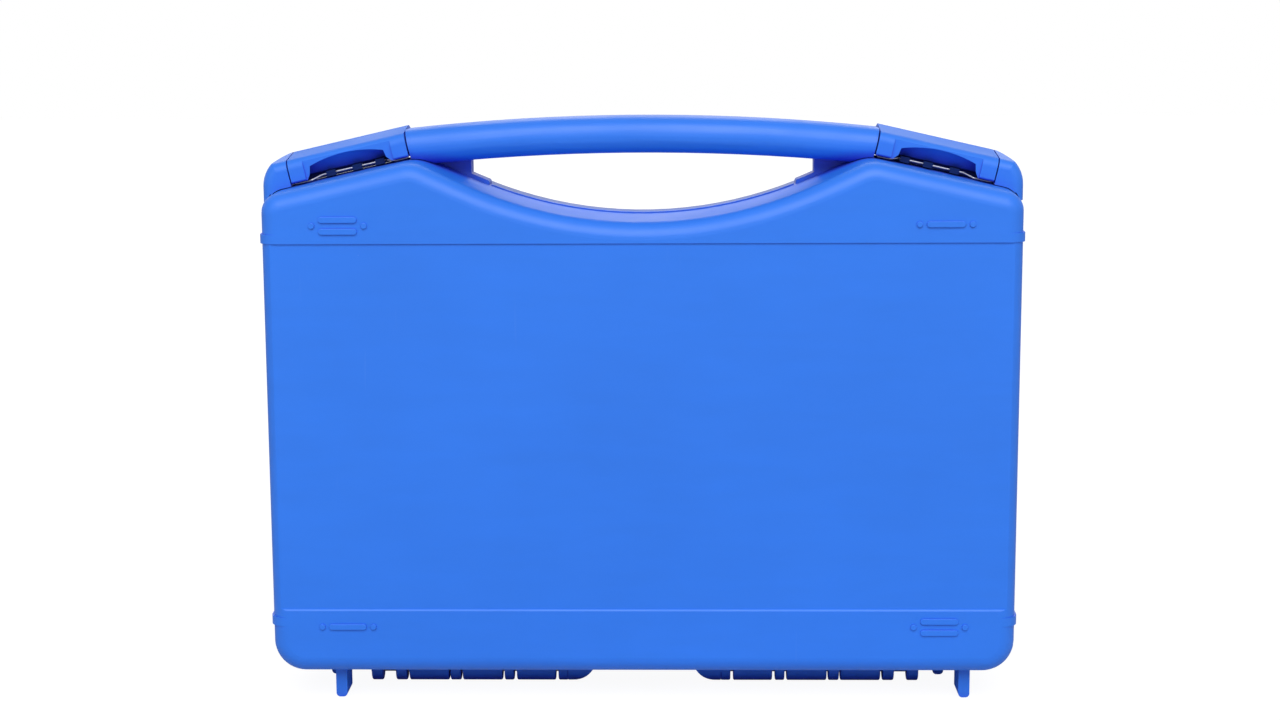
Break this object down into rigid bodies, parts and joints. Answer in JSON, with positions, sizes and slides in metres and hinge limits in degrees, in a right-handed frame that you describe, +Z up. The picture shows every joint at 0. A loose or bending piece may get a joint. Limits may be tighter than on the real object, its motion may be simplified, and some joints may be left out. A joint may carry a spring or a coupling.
{
  "type": "hard tool case",
  "caption": "Upright hard plastic tool case with a hinged lid, an arched carrying handle over a curved hand gap, and sprung lever latches on its sloping shoulders.",
  "frame": {"origin": "bottom centre: the floor under the feet, on the parting plane between lid and base", "axes": "+X to the right along the width, +Y to the back from the lid towards the base half, +Z up towards the handle"},
  "size_m": [0.4014, 0.092, 0.3118],
  "materials": {
    "shell_plastic": "satin blue polypropylene",
    "handle_plastic": "satin blue polypropylene",
    "latch_plastic": "satin blue polypropylene",
    "spring_steel": "drawn spring wire",
    "pin_steel": "plain turned steel"
  },
  "bodies": {
    "case": {"rear_shell": "shell_plastic", "handle": "handle_plastic", "handle_screws": "pin_steel", "hinge_pin_left": "pin_steel", "hinge_pin_right": "pin_steel", "latch_pin_left": "pin_steel", "latch_pin_right": "pin_steel"},
    "lid": {"front_shell": "shell_plastic"},
    "left_latch": {"latch_lever_left": "latch_plastic", "latch_wire_left": "spring_steel"},
    "right_latch": {"latch_lever_right": "latch_plastic", "latch_wire_right": "spring_steel"}
  },
  "joints": [
    {"name": "lid_hinge", "type": "hinge", "parent": "case", "child": "lid", "pos_m": [0, 0, 0.0068], "axis": [1, 0, 0], "range_deg": [0, 180]},
    {"name": "left_latch_pivot", "type": "hinge", "parent": "case", "child": "left_latch", "pos_m": [-0.1548, 0.0135, 0.28987], "axis": [-0.9748, 0, -0.2233], "range_deg": [0, 95]},
    {"name": "right_latch_pivot", "type": "hinge", "parent": "case", "child": "right_latch", "pos_m": [0.1548, 0.0135, 0.28987], "axis": [-0.9748, 0, 0.2233], "range_deg": [0, 95]}
  ]
}
